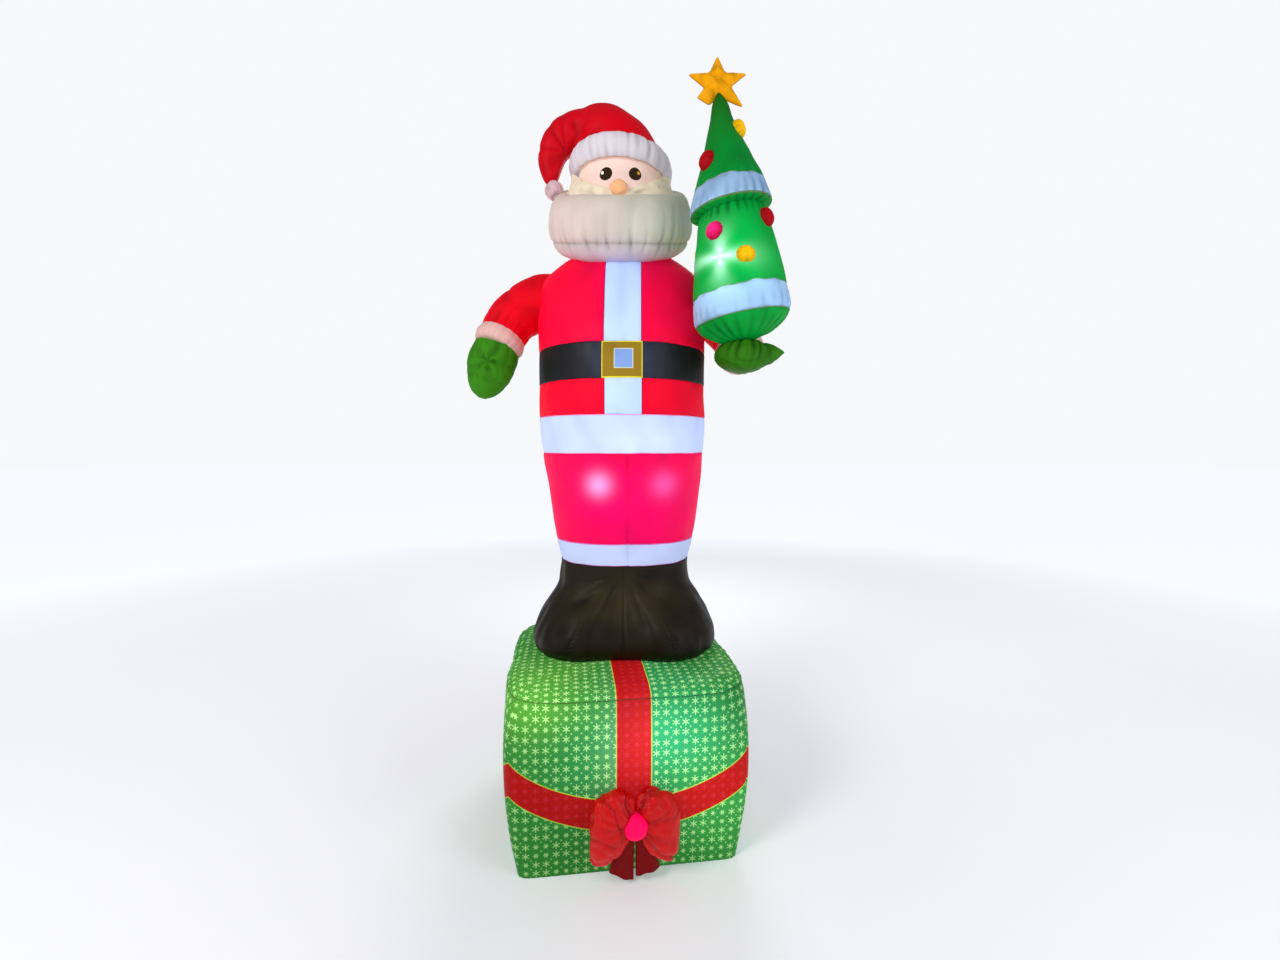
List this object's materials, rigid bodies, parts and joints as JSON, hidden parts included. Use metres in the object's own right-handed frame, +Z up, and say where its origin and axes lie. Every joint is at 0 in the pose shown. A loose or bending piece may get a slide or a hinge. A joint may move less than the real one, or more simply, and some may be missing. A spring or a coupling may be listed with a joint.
{
  "type": "inflatable garden santa",
  "caption": "Inflated, lit garden figure of Santa standing on a printed gift box, one hand under a small decorated Christmas tree.",
  "frame": {"origin": "middle of the gift box's underside, on the ground", "axes": "+Z up, -Y the way the figure faces, +X towards the figure's left hand and the tree"},
  "size_m": [1.3111, 1.0152, 3.0282],
  "materials": {
    "box_print": "printed nylon taffeta, softly lit from inside",
    "boot_black": "black nylon taffeta, satin",
    "trim_white": "white nylon taffeta, softly lit from inside",
    "suit_red": "red nylon taffeta, softly lit from inside",
    "hat_red": "red nylon taffeta, satin",
    "belt_black": "black nylon taffeta, satin",
    "face_cloth": "printed nylon taffeta, matte",
    "nose_cloth": "orange nylon taffeta, matte",
    "beard_cloth": "off-white nylon taffeta, matte",
    "mitten_green": "green nylon taffeta, satin",
    "tree_green": "green nylon taffeta, softly lit from inside",
    "star_amber": "amber nylon taffeta, satin",
    "bauble_red": "red nylon taffeta, satin",
    "bauble_yellow": "yellow nylon taffeta, satin",
    "bow_red": "red nylon taffeta, glossy",
    "knot_pink": "pink-red nylon taffeta, satin"
  },
  "bodies": {
    "root": {"gift_box": "box_print", "boot_left": "boot_black", "boot_right": "boot_black", "trouser_cuffs": "trim_white", "coat_hem": "trim_white", "trousers": "suit_red", "coat_skirt": "suit_red", "coat": "suit_red", "belt": "belt_black", "sleeve_left": "suit_red", "sleeve_right": "suit_red", "arm_cuff_left": "trim_white", "arm_cuff_right": "trim_white", "mitten_left": "mitten_green", "mitten_right": "mitten_green", "head": "face_cloth", "nose": "nose_cloth", "moustache": "beard_cloth", "beard": "beard_cloth", "hat": "hat_red", "hat_brim": "trim_white", "hat_pompom": "trim_white", "tree_base": "tree_green", "tree_top": "tree_green", "tree_star": "star_amber", "bauble_yellow_top": "bauble_yellow", "bauble_yellow_middle": "bauble_yellow", "bauble_yellow_back": "bauble_yellow", "bauble_red_top": "bauble_red", "bauble_red_left": "bauble_red", "bauble_red_right": "bauble_red", "bauble_red_back": "bauble_red", "bauble_red_back_top": "bauble_red", "bow_knot": "knot_pink", "bow_loop_left": "bow_red", "bow_loop_right": "bow_red", "bow_tail_left": "bow_red", "bow_tail_right": "bow_red"}
  },
  "joints": []
}
